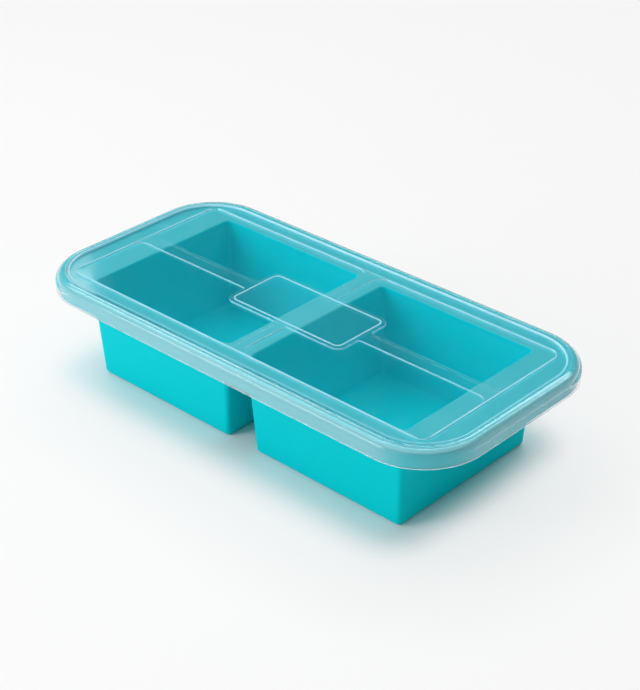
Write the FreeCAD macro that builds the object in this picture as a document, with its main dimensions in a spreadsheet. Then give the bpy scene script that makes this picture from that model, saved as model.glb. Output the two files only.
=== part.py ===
import FreeCAD, Part
import math
import os
import re
import Sketcher

# Freezer tray for portions of baby food: a silicone tray of two deep cups, with a steel
# hoop moulded into its rim, under a clear plastic lid that lifts straight off.
# Millimetres. The cups stand on z = 0, +Z is up, +X runs along the row of cups, and the
# origin is the middle of the footprint.

# Driving sizes

SIZES = {
    # cups
    "cup_length": 104.8,
    "cup_width": 106.4,
    "cup_draft": 3.2,
    "cup_end_wall": 1.6,
    "cup_side_wall": 2.5,
    "cup_floor": 2.6,
    "cup_corner_radius": 2.6,
    "cavity_corner_radius": 3.0,
    "cavity_floor_radius": 2.6,
    "mouth_radius": 1.1,
    "foot_radius": 2.4,
    "web_width": 13.6,
    # rim: a flat flange inside a raised bead
    "flange_height": 56.5,
    "rim_corner_radius": 34.3,
    "end_flange_width": 30.2,
    "side_flange_width": 15.5,
    "flange_thickness": 2.6,
    "bead_width": 4.3,
    "bead_rise": 2.4,
    "bead_depth": 8.6,
    "bead_edge_radius": 0.5,
    "shoulder_radius": 3.2,
    # hoop in the rim
    "wire_diameter": 2.5,
    "wire_gap": 0.05,
    # lid shell
    "lid_gap": 0.4,
    "skirt_wall": 1.3,
    "skirt_drop": 8.8,
    "head_room": 1.2,
    "sheet_thickness": 1.3,
    "lid_edge_radius": 5.4,
    "skirt_edge_radius": 0.4,
    # relief on top of the lid
    "ridge_end_width": 7.6,
    "ridge_side_width": 8.4,
    "ridge_wall": 1.2,
    "ridge_inner_radius": 28.5,
    "ridge_edge_radius": 0.45,
    "channel_end_width": 10.6,
    "channel_side_width": 7.4,
    "rib_rise": 0.8,
    "rib_edge_radius": 0.3,
    "frame_rib_width": 1.0,
    "frame_corner_radius": 7.2,
    "panel_corner_radius": 6.2,
    "long_rib_width": 9.4,
    "cross_rib_width": 7.8,
    "ring_length": 82.0,
    "ring_width": 40.0,
    "ring_corner_radius": 6.0,
    "ring_joint_radius": 1.5,
    "plate_length": 77.3,
    "plate_width": 35.8,
    "plate_corner_radius": 4.1,
    "plate_border_width": 0.9,
    "plate_rise": 0.4,
    "plate_edge_radius": 0.2,
}

# Sizes worked out from the driving ones, as spreadsheet formulas

FORMULAS = {
    "cup_centre": "(cup_length + web_width) / 2",
    "cup_lean": "2 * flange_height * tan(cup_draft * 1 deg)",
    "foot_length": "cup_length - cup_lean",
    "foot_width": "cup_width - cup_lean",
    "rim_length": "2 * (cup_length + end_flange_width) + web_width",
    "rim_width": "cup_width + 2 * side_flange_width",
    "bead_top": "flange_height + bead_rise",
    "bead_bottom": "bead_top - bead_depth",
    "wire_height": "bead_top - bead_depth / 2",
    "skirt_bottom": "bead_top - skirt_drop",
    "pocket_length": "rim_length + 2 * lid_gap",
    "pocket_width": "rim_width + 2 * lid_gap",
    "pocket_radius": "rim_corner_radius + lid_gap",
    "lid_length": "pocket_length + 2 * skirt_wall",
    "lid_width": "pocket_width + 2 * skirt_wall",
    "lid_radius": "pocket_radius + skirt_wall",
    "sheet_bottom": "flange_height + head_room",
    "sheet_top": "sheet_bottom + sheet_thickness",
    "ridge_top": "bead_top + sheet_thickness",
    "rib_top": "sheet_top + rib_rise",
    "plate_top": "rib_top + plate_rise",
    "channel_length": "lid_length - 2 * ridge_end_width",
    "channel_width": "lid_width - 2 * ridge_side_width",
    "frame_length": "channel_length - 2 * channel_end_width",
    "frame_width": "channel_width - 2 * channel_side_width",
}

doc = FreeCAD.newDocument("freezer_tray")
sheet = doc.addObject("Spreadsheet::Sheet", "Sizes")


def fill_sheet():
    row = 1
    for alias, value in SIZES.items():
        sheet.set("A%d" % row, alias)
        sheet.set("B%d" % row, str(value))
        sheet.setAlias("B%d" % row, alias)
        row += 1
    for alias, formula in FORMULAS.items():
        sheet.set("A%d" % row, alias)
        sheet.set("B%d" % row, "=" + formula)
        sheet.setAlias("B%d" % row, alias)
        row += 1
    doc.recompute()


def from_sheet(formula):
    # names each size in the formula as a cell of the sheet
    def cell(match):
        word = match.group(0)
        return "Sizes." + word if word in SIZES or word in FORMULAS else word

    return re.sub("[a-z_]+", cell, formula)


def value_of(formula):
    found = sheet.evalExpression(from_sheet(formula))
    return float(getattr(found, "Value", found))


def bind(item, path, formula):
    item.setExpression(path, from_sheet(formula))


# Sketches

def origin_plane(body, role):
    for feature in body.Origin.OriginFeatures:
        if feature.Role == role:
            return feature


def new_sketch(body, name, height, across="", role="XY_Plane"):
    sketch = body.newObject("Sketcher::SketchObject", name)
    sketch.AttachmentSupport = [(origin_plane(body, role), "")]
    sketch.MapMode = "FlatFace"
    if height:
        bind(sketch, ".AttachmentOffset.Base.z", height)
    if across:
        bind(sketch, ".AttachmentOffset.Base.x", across)
    return sketch


def set_size(sketch, constraint, name, formula):
    index = sketch.addConstraint(constraint)
    sketch.renameConstraint(index, name)
    bind(sketch, "Constraints." + name, formula)


def rounded_rectangle(sketch, length, width, radius):
    a = value_of(length) / 2
    b = value_of(width) / 2
    r = value_of(radius)
    corners = [(a, -b), (a, b), (-a, b), (-a, -b)]
    centres = [FreeCAD.Vector(x - math.copysign(r, x), y - math.copysign(r, y), 0) for x, y in corners]
    up = FreeCAD.Vector(0, 0, 1)
    turn = math.pi / 2
    start = -turn
    # four sides and four corner arcs, in turn round the outline
    for index in range(4):
        here = centres[index]
        ahead = centres[(index + 1) % 4]
        arc = Part.ArcOfCircle(Part.Circle(here, up, r), start, start + turn)
        out = FreeCAD.Vector(r * math.cos(start + turn), r * math.sin(start + turn), 0)
        sketch.addGeometry(arc, False)
        sketch.addGeometry(Part.LineSegment(here + out, ahead + out), False)
        start += turn
    for index in range(8):
        sketch.addConstraint(Sketcher.Constraint("Tangent", index, 2, (index + 1) % 8, 1))
    sketch.addConstraint(Sketcher.Constraint("Vertical", 1))
    sketch.addConstraint(Sketcher.Constraint("Horizontal", 3))
    sketch.addConstraint(Sketcher.Constraint("Vertical", 5))
    sketch.addConstraint(Sketcher.Constraint("Horizontal", 7))
    for index in (2, 4, 6):
        sketch.addConstraint(Sketcher.Constraint("Equal", 0, index))
    sketch.addConstraint(Sketcher.Constraint("Symmetric", 0, 3, 4, 3, -1, 1))
    set_size(sketch, Sketcher.Constraint("DistanceX", 5, 1, 1, 1, 2 * a), "length", length)
    set_size(sketch, Sketcher.Constraint("DistanceY", 7, 1, 3, 1, 2 * b), "width", width)
    set_size(sketch, Sketcher.Constraint("Radius", 0, r), "radius", radius)
    return sketch


def plate_sketch(body, name, height, length, width, radius, across=""):
    return rounded_rectangle(new_sketch(body, name, height, across), length, width, radius)


def circle_sketch(body, name, across, height, diameter):
    # a round section on the YZ plane, where sketch X is the part's Y and sketch Y its Z
    sketch = new_sketch(body, name, "", "", "YZ_Plane")
    centre = FreeCAD.Vector(-value_of(across), value_of(height), 0)
    radius = value_of(diameter) / 2
    sketch.addGeometry(Part.Circle(centre, FreeCAD.Vector(0, 0, 1), radius), False)
    set_size(sketch, Sketcher.Constraint("DistanceX", 0, 3, -1, 1, value_of(across)), "across", across)
    set_size(sketch, Sketcher.Constraint("DistanceY", -1, 1, 0, 3, value_of(height)), "height", height)
    set_size(sketch, Sketcher.Constraint("Diameter", 0, 2 * radius), "diameter", diameter)
    return sketch


# Features

def new_body(name):
    body = doc.addObject("PartDesign::Body", name)
    body.Label = name
    body.Placement = FreeCAD.Placement()
    return body


def pad(body, name, sketch, length):
    feature = body.newObject("PartDesign::Pad", name)
    feature.Profile = sketch
    bind(feature, "Length", length)
    doc.recompute()
    return feature


def pocket(body, name, sketch, length, upwards=False):
    before = body.Shape.Volume
    feature = body.newObject("PartDesign::Pocket", name)
    feature.Profile = sketch
    feature.Reversed = upwards
    bind(feature, "Length", length)
    doc.recompute()
    if body.Shape.Volume >= before:
        raise RuntimeError(name + " cuts nothing")
    return feature


def loft(body, kind, name, low, high):
    feature = body.newObject("PartDesign::" + kind, name)
    feature.Profile = low
    feature.Sections = [high]
    feature.Ruled = True
    doc.recompute()
    return feature


def pipe(body, kind, name, section, path):
    feature = body.newObject("PartDesign::" + kind, name)
    feature.Profile = section
    feature.Spine = (path, [])
    doc.recompute()
    return feature


def round_edges(body, name, radius, wanted):
    base = body.Tip
    edges = []
    for index, edge in enumerate(base.Shape.Edges):
        if wanted(edge):
            edges.append("Edge%d" % (index + 1))
    if not edges:
        raise RuntimeError(name + " finds no edge")
    feature = body.newObject("PartDesign::Fillet", name)
    feature.Base = (base, edges)
    bind(feature, "Radius", radius)
    doc.recompute()
    if feature.Shape.isNull():
        raise RuntimeError(name + " fails")
    return feature


# Ways to pick edges

NEAR = 0.01


def lies_at(edge, height):
    box = edge.BoundBox
    level = value_of(height)
    return abs(box.ZMin - level) < NEAR and abs(box.ZMax - level) < NEAR


def within(edge, length, width):
    # inside a rectangle about the middle
    box = edge.BoundBox
    reach_x = max(abs(box.XMin), abs(box.XMax))
    reach_y = max(abs(box.YMin), abs(box.YMax))
    return reach_x < length / 2 + NEAR and reach_y < width / 2 + NEAR


def is_post(edge, low, high):
    # a straight upright edge between two heights
    box = edge.BoundBox
    upright = box.XLength < NEAR and box.YLength < NEAR
    return upright and abs(box.ZMin - value_of(low)) < NEAR and abs(box.ZMax - value_of(high)) < NEAR


def stands_at(edge, spots):
    box = edge.BoundBox
    for x, y in spots:
        if abs(abs(box.XMin) - x) < NEAR and abs(abs(box.YMin) - y) < NEAR:
            return True
    return False


# The silicone tray

def wire_path(body, name):
    length = "rim_length - bead_width"
    width = "rim_width - bead_width"
    radius = "rim_corner_radius - bead_width / 2"
    return plate_sketch(body, name, "wire_height", length, width, radius)


def make_tray():
    body = new_body("tray")

    # rim: a thick slab, sunk from above and below to leave the flange inside its bead
    rim = plate_sketch(body, "rim_outline", "bead_bottom", "rim_length", "rim_width", "rim_corner_radius")
    pad(body, "rim_slab", rim, "bead_depth")
    inside = (
        "rim_length - 2 * bead_width", "rim_width - 2 * bead_width", "rim_corner_radius - bead_width")
    above = plate_sketch(body, "flange_top_outline", "bead_top", *inside)
    pocket(body, "flange_top", above, "bead_rise")
    below = plate_sketch(body, "flange_underside_outline", "bead_bottom", *inside)
    pocket(body, "flange_underside", below, "bead_depth - bead_rise - flange_thickness", True)

    # outside of each cup, tapering down to the foot
    sides = (("left", "-1 * cup_centre"), ("right", "cup_centre"))
    for side, across in sides:
        foot = plate_sketch(
            body, side + "_foot", "", "foot_length", "foot_width", "cup_corner_radius", across)
        top = plate_sketch(
            body, side + "_top", "flange_height", "cup_length", "cup_width", "cup_corner_radius", across)
        loft(body, "AdditiveLoft", side + "_cup", foot, top)

    # inside of each cup, one wall in from the outside
    floor_lean = "cup_lean * cup_floor / flange_height"
    for side, across in sides:
        floor = plate_sketch(
            body, side + "_floor", "cup_floor", "foot_length - 2 * cup_end_wall + " + floor_lean,
            "foot_width - 2 * cup_side_wall + " + floor_lean, "cavity_corner_radius", across)
        mouth = plate_sketch(
            body, side + "_mouth", "flange_height", "cup_length - 2 * cup_end_wall",
            "cup_width - 2 * cup_side_wall", "cavity_corner_radius", across)
        loft(body, "SubtractiveLoft", side + "_cavity", floor, mouth)

    # rounded edges of the bead, the mouths, the floors and the feet
    def inside_the_bead(edge):
        return within(edge, value_of(inside[0]), value_of(inside[1]))

    def at_a_mouth(edge):
        row_length = value_of("2 * cup_length + web_width")
        return lies_at(edge, "flange_height") and within(edge, row_length, value_of("cup_width"))

    round_edges(
        body, "bead_shoulder", "shoulder_radius",
        lambda e: lies_at(e, "bead_top") and not inside_the_bead(e))
    round_edges(
        body, "bead_rounds", "bead_edge_radius",
        lambda e: lies_at(e, "bead_bottom") or (lies_at(e, "bead_top") and inside_the_bead(e)))
    round_edges(body, "mouth_rounds", "mouth_radius", at_a_mouth)
    round_edges(body, "floor_rounds", "cavity_floor_radius", lambda e: lies_at(e, "cup_floor"))
    round_edges(body, "foot_rounds", "foot_radius", lambda e: lies_at(e, "0"))

    # closed channel for the hoop
    path = wire_path(body, "channel_path")
    section = circle_sketch(
        body, "channel_section", "( rim_width - bead_width ) / 2", "wire_height",
        "wire_diameter + 2 * wire_gap")
    pipe(body, "SubtractivePipe", "wire_channel", section, path)
    return body


def make_rim_wire():
    body = new_body("rim_wire")
    path = wire_path(body, "hoop_path")
    section = circle_sketch(
        body, "hoop_section", "( rim_width - bead_width ) / 2", "wire_height", "wire_diameter")
    pipe(body, "AdditivePipe", "hoop", section, path)
    return body


# The clear lid

def panel_sketch(body, name):
    # one of four sunk panels: a rectangle with a step cut out round the centre ring
    names = {
        "inner_x": "cross_rib_width / 2",
        "inner_y": "long_rib_width / 2",
        "ring_x": "ring_length / 2",
        "ring_y": "ring_width / 2",
        "outer_x": "frame_length / 2 - frame_rib_width",
        "outer_y": "frame_width / 2 - frame_rib_width",
    }
    at = {name: value_of(formula) for name, formula in names.items()}
    corners = [
        ("ring_x", "inner_y"), ("outer_x", "inner_y"), ("outer_x", "outer_y"),
        ("inner_x", "outer_y"), ("inner_x", "ring_y"), ("ring_x", "ring_y"),
    ]
    sketch = new_sketch(body, name, "rib_top")
    count = len(corners)
    for index in range(count):
        start = FreeCAD.Vector(at[corners[index][0]], at[corners[index][1]], 0)
        end = FreeCAD.Vector(at[corners[(index + 1) % count][0]], at[corners[(index + 1) % count][1]], 0)
        sketch.addGeometry(Part.LineSegment(start, end), False)
    for index in range(count):
        sketch.addConstraint(Sketcher.Constraint("Coincident", index, 2, (index + 1) % count, 1))
        way = "Horizontal" if index % 2 == 0 else "Vertical"
        sketch.addConstraint(Sketcher.Constraint(way, index))
    for place, corner in (("ring_x", 0), ("outer_x", 1), ("inner_x", 3)):
        rule = Sketcher.Constraint("DistanceX", -1, 1, corner, 1, at[place])
        set_size(sketch, rule, place, names[place])
    for place, corner in (("inner_y", 0), ("outer_y", 2), ("ring_y", 4)):
        rule = Sketcher.Constraint("DistanceY", -1, 1, corner, 1, at[place])
        set_size(sketch, rule, place, names[place])
    return sketch, at


def mirror_four_ways(body, feature):
    multi = body.newObject("PartDesign::MultiTransform", "panel_mirrors")
    multi.Originals = [feature]
    steps = []
    for role in ("YZ_Plane", "XZ_Plane"):
        step = body.newObject("PartDesign::Mirrored", "panel_mirror_" + role[:2].lower())
        step.MirrorPlane = (origin_plane(body, role), [""])
        steps.append(step)
    multi.Transformations = steps
    body.Tip = multi
    doc.recompute()
    return multi


def make_lid():
    body = new_body("lid")

    # shell: a block with its top sunk inside the ridge
    outline = plate_sketch(body, "lid_outline", "skirt_bottom", "lid_length", "lid_width", "lid_radius")
    pad(body, "lid_block", outline, "ridge_top - skirt_bottom")
    channel = plate_sketch(
        body, "channel_outline", "ridge_top", "channel_length", "channel_width", "ridge_inner_radius")
    pocket(body, "sunk_top", channel, "ridge_top - sheet_top")

    # hollow from below: up into the ridge, where the bead of the rim fits, then the sheet inside it
    skirt = plate_sketch(
        body, "skirt_outline", "skirt_bottom", "pocket_length", "pocket_width", "pocket_radius")
    pocket(body, "rim_pocket", skirt, "skirt_drop", True)
    inside = ("channel_length + 2 * ridge_wall", "channel_width + 2 * ridge_wall")
    sunk = plate_sketch(body, "sheet_outline", "sheet_bottom", *inside, "ridge_inner_radius + ridge_wall")
    pad(body, "sheet", sunk, "bead_top - sheet_bottom")

    # shoulder of the skirt, first inside and then outside
    def in_the_ridge(edge):
        return within(edge, value_of("channel_length"), value_of("channel_width"))

    round_edges(
        body, "skirt_shoulder", "shoulder_radius",
        lambda e: lies_at(e, "bead_top") and not within(e, value_of(inside[0]), value_of(inside[1])))
    round_edges(
        body, "lid_edge", "lid_edge_radius", lambda e: lies_at(e, "ridge_top") and not in_the_ridge(e))

    # ribs: one raised plateau with four panels sunk into it
    frame = plate_sketch(
        body, "frame_outline", "sheet_top", "frame_length", "frame_width", "frame_corner_radius")
    pad(body, "rib_plateau", frame, "rib_rise")
    panel, at = panel_sketch(body, "panel_outline")
    first = pocket(body, "panel", panel, "rib_rise")
    mirror_four_ways(body, first)
    outer = (
        (at["outer_x"], at["inner_y"]), (at["outer_x"], at["outer_y"]), (at["inner_x"], at["outer_y"]))
    joints = ((at["ring_x"], at["inner_y"]), (at["inner_x"], at["ring_y"]))
    ring = ((at["ring_x"], at["ring_y"]),)
    for name, radius, spots in (
            ("panel_corners", "panel_corner_radius", outer),
            ("ring_joints", "ring_joint_radius", joints),
            ("ring_corners", "ring_corner_radius", ring)):
        round_edges(
            body, name, radius,
            lambda e, spots=spots: is_post(e, "sheet_top", "rib_top") and stands_at(e, spots))
    round_edges(body, "rib_edges", "rib_edge_radius", lambda e: lies_at(e, "rib_top"))

    # blank plate in the middle, inside a raised border
    plate = plate_sketch(
        body, "plate_outline", "rib_top", "plate_length", "plate_width", "plate_corner_radius")
    pad(body, "plate", plate, "plate_rise")
    field = plate_sketch(
        body, "field_outline", "plate_top", "plate_length - 2 * plate_border_width",
        "plate_width - 2 * plate_border_width", "plate_corner_radius - plate_border_width")
    pocket(body, "plate_field", field, "plate_rise")

    def on_the_plate(edge):
        return within(edge, value_of("plate_length"), value_of("plate_width"))

    round_edges(
        body, "plate_edges", "plate_edge_radius", lambda e: lies_at(e, "plate_top") and on_the_plate(e))

    # crisp edges of the ridge and the skirt
    def on_the_ridge(edge):
        return lies_at(edge, "ridge_top") and in_the_ridge(edge) and not on_the_plate(edge)

    round_edges(body, "ridge_edge", "ridge_edge_radius", on_the_ridge)
    round_edges(body, "skirt_edges", "skirt_edge_radius", lambda e: lies_at(e, "skirt_bottom"))
    return body


def check_and_write(bodies):
    doc.recompute()
    for item in doc.Objects:
        if "Invalid" in item.State or "Error" in item.State:
            raise RuntimeError("failed: " + item.Name)
    for body in bodies:
        if body.Shape.isNull() or not body.Shape.isValid():
            raise RuntimeError("bad shape: " + body.Label)
        if len(body.Shape.Solids) != 1:
            raise RuntimeError("not one solid: " + body.Label)
    os.makedirs("parts", exist_ok=True)
    for body in bodies:
        body.Shape.exportStep("parts/" + body.Label + ".step")
        box = body.Shape.optimalBoundingBox(False, False)
        spans = [round(span, 2) for span in (box.XLength, box.YLength, box.ZLength)]
        print(body.Label, spans, "mm,", round(body.Shape.Volume / 1000, 2), "ml")


fill_sheet()
check_and_write([make_tray(), make_rim_wire(), make_lid()])
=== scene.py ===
import math

import bpy
from mathutils import Matrix, Vector


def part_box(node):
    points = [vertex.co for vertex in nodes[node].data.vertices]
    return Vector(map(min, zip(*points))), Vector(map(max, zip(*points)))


# Looks of the freezer tray: teal silicone, a steel hoop inside its rim, and a clear lid.
# Everything is in metres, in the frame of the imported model.

MM = 0.001

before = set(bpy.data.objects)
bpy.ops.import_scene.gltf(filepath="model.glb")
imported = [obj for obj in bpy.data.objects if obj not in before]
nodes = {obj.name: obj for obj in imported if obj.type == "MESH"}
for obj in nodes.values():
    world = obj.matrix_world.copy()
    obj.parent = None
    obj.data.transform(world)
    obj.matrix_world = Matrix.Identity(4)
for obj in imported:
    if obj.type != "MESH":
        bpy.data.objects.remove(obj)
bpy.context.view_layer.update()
scene = bpy.context.scene
lid_low, lid_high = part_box("lid")
tray_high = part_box("tray")[1]

# Camera, where the photographer stood

CAMERA_AZIMUTH = math.radians(42.9)
CAMERA_ELEVATION = math.radians(30.38)
CAMERA_ROLL = math.radians(-0.17)
CAMERA_DISTANCE = 0.938
CAMERA_AIM = Vector((-0.0064, 0.0170, 0.0286))
FOCAL_LENGTH = 90.32
SENSOR_SIZE = 36.0

# Lid: its relief, and the outlines that its edges follow

LID_LENGTH = lid_high.x - lid_low.x
LID_WIDTH = lid_high.y - lid_low.y
RIDGE_RISE = 1.2 * MM
RIB_RISE = 0.8 * MM
SHEET_TOP = lid_high.z - RIDGE_RISE
RIDGE_END_WIDTH = 7.6 * MM
RIDGE_SIDE_WIDTH = 8.4 * MM
RIDGE_LENGTH = LID_LENGTH - 2 * RIDGE_END_WIDTH
RIDGE_WIDTH = LID_WIDTH - 2 * RIDGE_SIDE_WIDTH
RIDGE_RADIUS = 28.5 * MM
FRAME_END_GAP = 10.6 * MM
FRAME_SIDE_GAP = 7.4 * MM
FRAME_LENGTH = RIDGE_LENGTH - 2 * FRAME_END_GAP
FRAME_WIDTH = RIDGE_WIDTH - 2 * FRAME_SIDE_GAP
FRAME_RADIUS = 7.2 * MM
FRAME_RIB = 1.0 * MM
PLATE_LENGTH = 77.3 * MM
PLATE_WIDTH = 35.8 * MM
PLATE_RADIUS = 4.1 * MM
PLATE_BORDER = 0.9 * MM

# Tray: its levels, and the middle of the walls of its cups at the height of the flange

BEAD_RISE = 2.4 * MM
FLANGE_TOP = tray_high.z - BEAD_RISE
CUP_CENTRE = 59.2 * MM
CUP_REACH_X = 51.6 * MM
CUP_REACH_Y = 51.9 * MM
CUP_CORNER = 2.6 * MM
CUP_DRAFT = math.radians(3.2)
CUP_FLOOR_MIDDLE = 1.3 * MM

# Colours, as linear light

FLOOR_WHITE = 0.95
SILICONE_TEAL = (0.0, 0.62, 0.68)
# painted sheen on the flange top
SILICONE_PAINTED_SHEEN = (0.10, 0.66, 0.71)
# painted light inside the cups
SILICONE_PAINTED_GLOW = (0.0, 0.79, 0.85)
PLASTIC_CLEAR = (0.92, 0.96, 0.99)
# colour of the painted reflection on the lid's skirt
PLASTIC_SKIRT_REFLECTION = (0.86, 0.82, 0.84)
# colour of the painted highlights along the lid's edges
PLASTIC_HIGHLIGHT = (0.48, 0.88, 1.0)
PLASTIC_PASSING = (0.95, 0.972, 0.992)
STEEL_GREY = (0.62, 0.63, 0.64)

# Surfaces. Where a value is a pair, noise moves it from the first to the second.

NOISE_LOW = 0.3
NOISE_HIGH = 0.7
SILICONE_CLOUD_SIZE = 18 * MM
SILICONE_GRAIN_SIZE = 0.45 * MM
SILICONE_GRAIN_DEPTH = 0.02 * MM
SILICONE_DARKER = 0.965
SILICONE_ROUGHNESS = (0.44, 0.52)
SILICONE_IOR = 1.41
SILICONE_SPECULAR = 0.05
# how strong the painted sheen on the flange top is
PAINTED_SHEEN_SHARE = (0.8, 1.0)
STEEL_STREAK_SIZE = 0.3 * MM
STEEL_STREAK_DEPTH = 0.01 * MM
STEEL_DARKER = 0.8
STEEL_ROUGHNESS = (0.22, 0.38)
PLASTIC_CLOUD_SIZE = 12 * MM
PLASTIC_DARKER = 0.98
PLASTIC_ROUGHNESS = (0.03, 0.06)
PLASTIC_IOR = 1.54
TRAPPED_DEPTH = 4.5

# Masks: each pair is the values at which a mask starts and is full, in heights, in distances
# past an outline or wall, or in parts of the surface's normal

# heights where the painted sheen on the flange top starts and is full
PAINTED_SHEEN_HEIGHTS = (FLANGE_TOP - 0.5 * MM, FLANGE_TOP)
CUP_FLOOR_HEIGHTS = (CUP_FLOOR_MIDDLE - 0.5 * MM, CUP_FLOOR_MIDDLE + 0.5 * MM)
WITHIN_WALLS = (0.3 * MM, -0.3 * MM)
SHEET_HEIGHTS = (SHEET_TOP - 0.3 * MM, SHEET_TOP)
RIB_HEIGHTS = (SHEET_TOP + 0.5 * RIB_RISE, SHEET_TOP + 0.9 * RIB_RISE)
SKIRT_FOOT_HEIGHTS = (lid_low.z + 0.9 * MM, lid_low.z + 0.4 * MM)
PAST_RIDGE = (2.0 * MM, 3.0 * MM)
WITHIN_RIDGE = (0.9 * MM, 0.6 * MM)
SKIRT_SLOPE = (0.97, 0.75)
STEP_SLOPE = (0.97, 0.8)
STRAIGHT_SIDES = (0.45, 0.0)
FACING_END = (0.8, 1.0)

# Painted highlight lines on the lid: their places, and the shares of their widths between which they
# fade in

RIDGE_LINE_PLACE = 0.4 * MM
RIDGE_LINE_WIDTH = 0.9 * MM
FRAME_LINE_WIDTH = 0.7 * FRAME_RIB
PLATE_LINE_WIDTH = 0.7 * PLATE_BORDER
LINE_OUTSIDE = 0.7
LINE_INSIDE = 0.3

# Lid: how much of the light its plastic scatters and doesn't pass on (a faint real haze on the ribs, a
# painted reflection on the skirt, painted highlights at the skirt's foot and along the edges), what
# share of the skirt's painted reflection is left at the ends, and how soon the painted highlights take
# on their own colour

SKIRT_PAINTED_REFLECTION = 0.10
END_REFLECTION_SHARE = 0.4
RIB_HAZE = 0.015
SKIRT_FOOT_HIGHLIGHT = 0.05
STEP_HIGHLIGHT = 0.55
RIDGE_LINE_HIGHLIGHT = 0.75
FRAME_LINE_HIGHLIGHT = 0.70
PLATE_LINE_HIGHLIGHT = 0.80
HIGHLIGHT_TINT_GAIN = 2.5

# Floor: its half width, and how its painted light lifts it towards white, washing out its shadow away
# from the cups' outline, shifted a little

FLOOR_REACH = 20.0
FLOOR_PAINTED_LIFT = 0.72
LIFT_GAPS = (4 * MM, 32 * MM)
LIFT_SHIFT_X = 6 * MM
LIFT_SHIFT_Y = 2 * MM

# Studio. Heights are the upward part of a direction, and bearings are degrees from +X towards +Y.

SWEEP_HEIGHTS = (0.15, 0.36)
WALL_LIGHT = 0.02
OVERHEAD_HEIGHTS = (0.62, 0.84)
OVERHEAD_LIGHT = 1.45
SOFTBOXES = {
    "behind": {
        "bearings": (82.0, 168.0), "bearing_fade": 5.0,
        "heights": (0.59, 0.71), "height_fade": 0.03, "light": 5.8},
    "left_card": {
        "bearings": (141.35, 144.0), "bearing_fade": 0.1,
        "heights": (0.456, 0.60), "height_fade": 0.006, "light": 1.6},
    "front_left": {
        "bearings": (-172.0, -138.0), "bearing_fade": 3.0,
        "heights": (0.62, 0.78), "height_fade": 0.05, "light": 1.3},
}
LAMPS = {
    "front_lamp": {"place": (-0.55, -0.95, 0.40), "size": 0.6, "energy": 6.0},
    "left_lamp": {"place": (-0.45, 0.05, 0.60), "size": 0.5, "energy": 0.5},
}


# Node helpers

def clear_tree(owner):
    # the node tree of a material or a world, emptied
    owner.use_nodes = True
    owner.node_tree.nodes.clear()
    return owner.node_tree


def add(tree, kind, **settings):
    node = tree.nodes.new(kind)
    for name, value in settings.items():
        setattr(node, name, value)
    return node


def feed(tree, value, socket):
    # a link where the value comes from a node, and a plain setting where it's a colour or a number
    if isinstance(value, bpy.types.NodeSocket):
        tree.links.new(value, socket)
    elif isinstance(value, tuple):
        socket.default_value = (*value, 1.0)
    else:
        socket.default_value = value


def feed_all(tree, values, sockets):
    for value, socket in zip(values, sockets):
        feed(tree, value, socket)


def maths(tree, operation, a, b=0.0, clamp=False):
    node = add(tree, "ShaderNodeMath", operation=operation, use_clamp=clamp)
    feed_all(tree, (a, b), node.inputs)
    return node.outputs[0]


def product(tree, first, *others):
    # several masks multiplied together
    for mask in others:
        first = maths(tree, "MULTIPLY", first, mask)
    return first


def total(tree, *shares):
    # the sum of several (mask, amount) pairs
    sum_so_far = 0.0
    for mask, amount in shares:
        sum_so_far = maths(tree, "ADD", sum_so_far, maths(tree, "MULTIPLY", mask, amount))
    return sum_so_far


def ramp(tree, value, start, end, at_start=0.0, at_end=1.0):
    # goes smoothly from one amount to another as the value goes from start to end
    node = add(tree, "ShaderNodeMapRange", interpolation_type="SMOOTHSTEP")
    feed_all(tree, (value, start, end, at_start, at_end), node.inputs)
    return node.outputs[0]


def noise(tree, vector, size, detail=2.0, roughness=0.5):
    # 3D noise whose features are about that many metres across
    node = add(tree, "ShaderNodeTexNoise")
    feed(tree, vector, node.inputs["Vector"])
    feed(tree, 1.0 / size, node.inputs["Scale"])
    feed(tree, detail, node.inputs["Detail"])
    feed(tree, roughness, node.inputs["Roughness"])
    return node.outputs[0]


def vary(tree, texture, low, high):
    # an amount that wanders between low and high with a noise
    return ramp(tree, texture, NOISE_LOW, NOISE_HIGH, low, high)


def bump(tree, height, depth):
    node = add(tree, "ShaderNodeBump")
    feed(tree, 1.0, node.inputs["Strength"])
    feed(tree, depth, node.inputs["Distance"])
    feed(tree, height, node.inputs["Height"])
    return node.outputs[0]


def mix_colours(tree, share, a, b):
    # the Mix node's sockets for colours come after those for numbers and vectors
    node = add(tree, "ShaderNodeMix", data_type="RGBA")
    feed(tree, share, node.inputs[0])
    feed_all(tree, (a, b), node.inputs[6:8])
    return node.outputs[2]


def speckle(tree, texture, colour, darker):
    # a colour that a noise darkens in places
    dark = tuple(darker * part for part in colour)
    return mix_colours(tree, texture, dark, colour)


def mix_shaders(tree, share, a, b):
    node = add(tree, "ShaderNodeMixShader")
    feed_all(tree, (share, a, b), node.inputs)
    return node.outputs[0]


def principled(tree, settings):
    node = add(tree, "ShaderNodeBsdfPrincipled")
    for name, value in settings.items():
        feed(tree, value, node.inputs[name])
    return node.outputs[0]


def split(tree, vector):
    # the X, Y and Z parts of a vector
    node = add(tree, "ShaderNodeSeparateXYZ")
    feed(tree, vector, node.inputs[0])
    return node.outputs


def object_place(tree):
    # where the shaded point lies on its object, which moves with the object
    return add(tree, "ShaderNodeTexCoord").outputs["Object"]


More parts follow.
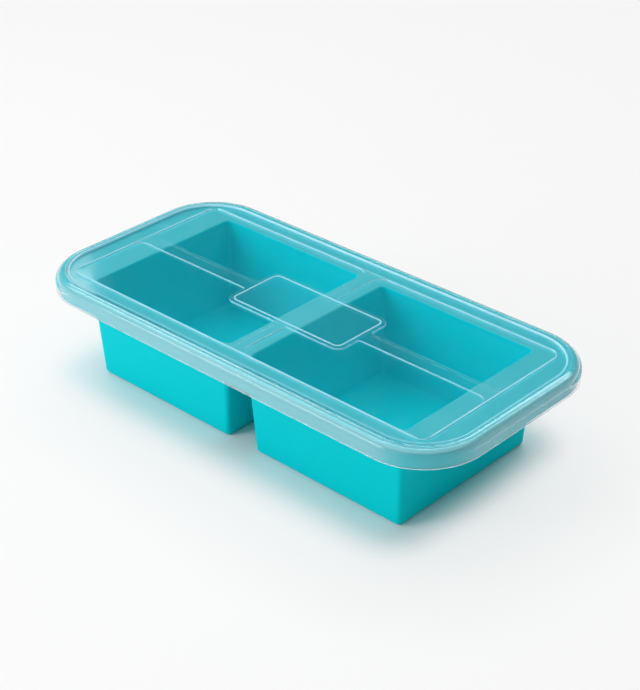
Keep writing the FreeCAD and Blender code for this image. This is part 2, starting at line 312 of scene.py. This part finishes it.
def outline_distance(tree, x, y, length, width, radius):
    # how far outside a rounded rectangle about the middle a point lies; inside is negative
    over_x = maths(tree, "SUBTRACT", maths(tree, "ABSOLUTE", x), length / 2 - radius)
    over_y = maths(tree, "SUBTRACT", maths(tree, "ABSOLUTE", y), width / 2 - radius)
    out_x = maths(tree, "POWER", maths(tree, "MAXIMUM", over_x, 0.0), 2.0)
    out_y = maths(tree, "POWER", maths(tree, "MAXIMUM", over_y, 0.0), 2.0)
    corner = maths(tree, "SQRT", maths(tree, "ADD", out_x, out_y))
    inside = maths(tree, "MINIMUM", maths(tree, "MAXIMUM", over_x, over_y), 0.0)
    return maths(tree, "SUBTRACT", maths(tree, "ADD", corner, inside), radius)


def line_along(tree, distance, middle, width):
    # 1 on a soft-edged line that runs at one distance from an outline, 0 away from it
    off = maths(tree, "ABSOLUTE", maths(tree, "SUBTRACT", distance, middle))
    return ramp(tree, off, LINE_OUTSIDE * width, LINE_INSIDE * width)


def band(tree, value, low, high, fade):
    # 1 between two values, with soft edges
    rise = ramp(tree, value, low - fade, low + fade)
    fall = ramp(tree, value, high + fade, high - fade)
    return product(tree, rise, fall)


def new_material(name, make_shader):
    # a material of that name, whose surface is what make_shader builds in its tree
    material = bpy.data.materials.new(name)
    tree = clear_tree(material)
    output = add(tree, "ShaderNodeOutputMaterial")
    feed(tree, make_shader(tree), output.inputs["Surface"])
    return material


# Materials

def cup_inside(tree, x, y, height):
    # 1 on the inner faces of the cups, from the middle of their drafted walls and floors inwards
    lean = maths(tree, "MULTIPLY", maths(tree, "SUBTRACT", FLANGE_TOP, height), math.tan(CUP_DRAFT))
    from_centre = maths(tree, "SUBTRACT", maths(tree, "ABSOLUTE", x), CUP_CENTRE)
    over_x = maths(tree, "SUBTRACT", maths(tree, "ABSOLUTE", from_centre), CUP_REACH_X)
    over_y = maths(tree, "SUBTRACT", maths(tree, "ABSOLUTE", y), CUP_REACH_Y)
    past_wall = maths(tree, "ADD", maths(tree, "MAXIMUM", over_x, over_y), lean)
    within_walls = ramp(tree, past_wall, *WITHIN_WALLS)
    return product(tree, within_walls, ramp(tree, height, *CUP_FLOOR_HEIGHTS))


def silicone(tree):
    place = object_place(tree)
    x, y, height = split(tree, place)
    cloud = noise(tree, place, SILICONE_CLOUD_SIZE, detail=3.0)
    grain = noise(tree, place, SILICONE_GRAIN_SIZE, roughness=0.6)

    # painted light: the cups are painted brighter inside than outside, standing in for light that
    # soaks through the thin walls, and the flange top is painted paler, a painted sheen standing in
    # for its reflection of the sky
    clean = speckle(tree, cloud, SILICONE_TEAL, SILICONE_DARKER)
    painted_glow = mix_colours(tree, cup_inside(tree, x, y, height), clean, SILICONE_PAINTED_GLOW)
    painted_sheen = product(tree, ramp(tree, height, *PAINTED_SHEEN_HEIGHTS), vary(tree, cloud, *PAINTED_SHEEN_SHARE))

    return principled(tree, {
        "Base Color": mix_colours(tree, painted_sheen, painted_glow, SILICONE_PAINTED_SHEEN),
        "Roughness": vary(tree, cloud, *SILICONE_ROUGHNESS),
        "Normal": bump(tree, grain, SILICONE_GRAIN_DEPTH),
        "IOR": SILICONE_IOR,
        "Specular IOR Level": SILICONE_SPECULAR,
    })


def steel(tree):
    streaks = noise(tree, object_place(tree), STEEL_STREAK_SIZE, detail=4.0, roughness=0.7)
    return principled(tree, {
        "Base Color": speckle(tree, streaks, STEEL_GREY, STEEL_DARKER),
        "Roughness": vary(tree, streaks, *STEEL_ROUGHNESS),
        "Normal": bump(tree, streaks, STEEL_STREAK_DEPTH),
        "Metallic": 1.0,
    })


def painted_edge_glints(tree, x, y, height, ridge_gap, tilt):
    # painted highlights along the edges: the inside of the ridge, the ribs' sides, the frame and the
    # plate's border
    frame_gap = outline_distance(tree, x, y, FRAME_LENGTH, FRAME_WIDTH, FRAME_RADIUS)
    plate_gap = outline_distance(tree, x, y, PLATE_LENGTH, PLATE_WIDTH, PLATE_RADIUS)
    painted_step_glint = product(tree, ramp(tree, tilt, *STEP_SLOPE), ramp(tree, ridge_gap, *WITHIN_RIDGE))
    painted_ridge_glint = line_along(tree, ridge_gap, RIDGE_LINE_PLACE, RIDGE_LINE_WIDTH)
    painted_frame_glint = line_along(tree, frame_gap, -FRAME_RIB / 2, FRAME_LINE_WIDTH)
    painted_plate_glint = line_along(tree, plate_gap, -PLATE_BORDER / 2, PLATE_LINE_WIDTH)
    painted_glints = total(
        tree, (painted_step_glint, STEP_HIGHLIGHT), (painted_ridge_glint, RIDGE_LINE_HIGHLIGHT),
        (painted_frame_glint, FRAME_LINE_HIGHLIGHT), (painted_plate_glint, PLATE_LINE_HIGHLIGHT))
    return product(tree, painted_glints, ramp(tree, height, *SHEET_HEIGHTS))


def clear_plastic(tree):
    place = object_place(tree)
    x, y, height = split(tree, place)
    facing_x, facing_y, facing_z = split(tree, add(tree, "ShaderNodeNewGeometry").outputs["Normal"])
    tilt = maths(tree, "ABSOLUTE", facing_z)
    ridge_gap = outline_distance(tree, x, y, RIDGE_LENGTH, RIDGE_WIDTH, RIDGE_RADIUS)
    painted_glints = painted_edge_glints(tree, x, y, height, ridge_gap, tilt)

    # haze and painted light: a painted reflection of the floor on the skirt and its shoulder, weaker
    # at the ends and round the corners, a faint haze on the ribs, and a painted highlight at the foot
    # of the skirt
    side = product(tree, ramp(tree, tilt, *SKIRT_SLOPE), ramp(tree, ridge_gap, *PAST_RIDGE))
    diagonal = maths(tree, "ABSOLUTE", product(tree, facing_x, facing_y))
    straight = ramp(tree, diagonal, *STRAIGHT_SIDES)
    ends = ramp(tree, maths(tree, "ABSOLUTE", facing_x), *FACING_END, 1.0, END_REFLECTION_SHARE)
    ribs = ramp(tree, height, *RIB_HEIGHTS)
    # painted highlight along the foot of the skirt
    foot_highlight = ramp(tree, height, *SKIRT_FOOT_HEIGHTS)
    haze_and_painted_light = total(
        tree, (product(tree, side, straight, ends), SKIRT_PAINTED_REFLECTION), (ribs, RIB_HAZE),
        (foot_highlight, SKIRT_FOOT_HIGHLIGHT), (painted_glints, 1.0))

    cloud = noise(tree, place, PLASTIC_CLOUD_SIZE)
    sheet = speckle(tree, cloud, PLASTIC_CLEAR, PLASTIC_DARKER)
    sheet = mix_colours(tree, side, sheet, PLASTIC_SKIRT_REFLECTION)
    # the painted highlights take on their own colour
    highlight_share = maths(tree, "MULTIPLY", painted_glints, HIGHLIGHT_TINT_GAIN, clamp=True)
    plastic = principled(tree, {
        "Base Color": mix_colours(tree, highlight_share, sheet, PLASTIC_HIGHLIGHT),
        "Transmission Weight": maths(tree, "SUBTRACT", 1.0, haze_and_painted_light, clamp=True),
        "Roughness": vary(tree, cloud, *PLASTIC_ROUGHNESS),
        "IOR": PLASTIC_IOR,
    })

    # lamps and bounced light pass straight through, and so does light trapped inside the sheet
    path = add(tree, "ShaderNodeLightPath").outputs
    passing = maths(tree, "MAXIMUM", path["Is Shadow Ray"], path["Is Diffuse Ray"])
    trapped = maths(tree, "GREATER_THAN", path["Ray Depth"], TRAPPED_DEPTH)
    let_through = add(tree, "ShaderNodeBsdfTransparent")
    feed(tree, PLASTIC_PASSING, let_through.inputs[0])
    return mix_shaders(
        tree, maths(tree, "MAXIMUM", passing, trapped), plastic, let_through.outputs[0])


def floor_paper(tree):
    # white paper, painted lighter to the eye than by the light it throws back, so its shadow is washed
    # out
    # away from the cups: least beside the cups, and a little less to their left and front than to
    # their right and back
    x, y, _ = split(tree, object_place(tree))
    x = maths(tree, "ADD", x, LIFT_SHIFT_X)
    y = maths(tree, "ADD", y, LIFT_SHIFT_Y)
    cups_length = 2 * (CUP_CENTRE + CUP_REACH_X)
    cups_gap = outline_distance(tree, x, y, cups_length, 2 * CUP_REACH_Y, CUP_CORNER)
    painted_lift = ramp(tree, cups_gap, *LIFT_GAPS, 0.0, FLOOR_PAINTED_LIFT)
    paper = principled(tree, {
        "Base Color": (FLOOR_WHITE, FLOOR_WHITE, FLOOR_WHITE),
        "Roughness": 1.0,
        "Specular IOR Level": 0.0,
    })
    white = add(tree, "ShaderNodeEmission")
    feed(tree, FLOOR_WHITE, white.inputs["Strength"])
    path = add(tree, "ShaderNodeLightPath").outputs
    seen = maths(tree, "MAXIMUM", path["Is Camera Ray"], path["Is Glossy Ray"])
    seen = maths(tree, "MAXIMUM", seen, path["Is Transmission Ray"])
    return mix_shaders(tree, product(tree, seen, painted_lift), paper, white.outputs[0])


def dress(node, material):
    for slot in nodes[node].material_slots:
        slot.material = material


# Studio

def make_camera():
    tip = Matrix.Rotation(math.pi / 2 - CAMERA_ELEVATION, 4, "X")
    turn = Matrix.Rotation(CAMERA_AZIMUTH, 4, "Z") @ tip
    back = turn @ Vector((0, 0, 1))
    data = bpy.data.cameras.new("camera")
    data.lens = FOCAL_LENGTH
    data.sensor_width = SENSOR_SIZE
    camera = bpy.data.objects.new("camera", data)
    place = Matrix.Translation(CAMERA_AIM + back * CAMERA_DISTANCE)
    camera.matrix_world = place @ turn @ Matrix.Rotation(CAMERA_ROLL, 4, "Z")
    scene.collection.objects.link(camera)
    scene.camera = camera


def make_floor():
    mesh = bpy.data.meshes.new("floor")
    corners = [(x * FLOOR_REACH, y * FLOOR_REACH, 0) for x, y in ((-1, -1), (1, -1), (1, 1), (-1, 1))]
    mesh.from_pydata(corners, [], [(0, 1, 2, 3)])
    floor = bpy.data.objects.new("floor", mesh)
    mesh.materials.append(new_material("floor_paper", floor_paper))
    scene.collection.objects.link(floor)


def softbox(tree, bearing, height, box):
    # a bright patch of sky between two bearings and two heights
    left, right = (math.radians(angle) for angle in box["bearings"])
    across = band(tree, bearing, left, right, math.radians(box["bearing_fade"]))
    return product(tree, across, band(tree, height, *box["heights"], box["height_fade"]))


def make_world():
    # a white sweep round the horizon, dim walls, a broad soft light overhead and the softboxes
    scene.world = bpy.data.worlds.new("studio")
    tree = clear_tree(scene.world)
    x, y, height = split(tree, add(tree, "ShaderNodeTexCoord").outputs["Generated"])
    bearing = maths(tree, "ARCTAN2", y, x)
    sweep = ramp(tree, height, *SWEEP_HEIGHTS, FLOOR_WHITE, WALL_LIGHT)
    overhead = ramp(tree, height, *OVERHEAD_HEIGHTS)
    patches = [(softbox(tree, bearing, height, box), box["light"]) for box in SOFTBOXES.values()]
    light = total(tree, (sweep, 1.0), (overhead, OVERHEAD_LIGHT), *patches)
    background = add(tree, "ShaderNodeBackground")
    feed(tree, light, background.inputs["Strength"])
    output = add(tree, "ShaderNodeOutputWorld")
    feed(tree, background.outputs[0], output.inputs["Surface"])


def make_lamp(name, place, size, energy):
    # a soft square lamp that faces the tray, and that gloss doesn't mirror
    data = bpy.data.lights.new(name, "AREA")
    data.shape = "SQUARE"
    data.size = size
    data.energy = energy
    lamp = bpy.data.objects.new(name, data)
    turn = (Vector(place) - CAMERA_AIM).to_track_quat("Z", "Y")
    lamp.matrix_world = Matrix.Translation(place) @ turn.to_matrix().to_4x4()
    lamp.visible_glossy = False
    scene.collection.objects.link(lamp)


dress("tray", new_material("teal_silicone", silicone))
dress("rim_wire", new_material("drawn_steel", steel))
dress("lid", new_material("clear_plastic", clear_plastic))
make_camera()
make_floor()
make_world()
for lamp_name, lamp_settings in LAMPS.items():
    make_lamp(lamp_name, **lamp_settings)

scene.view_settings.view_transform = "Standard"
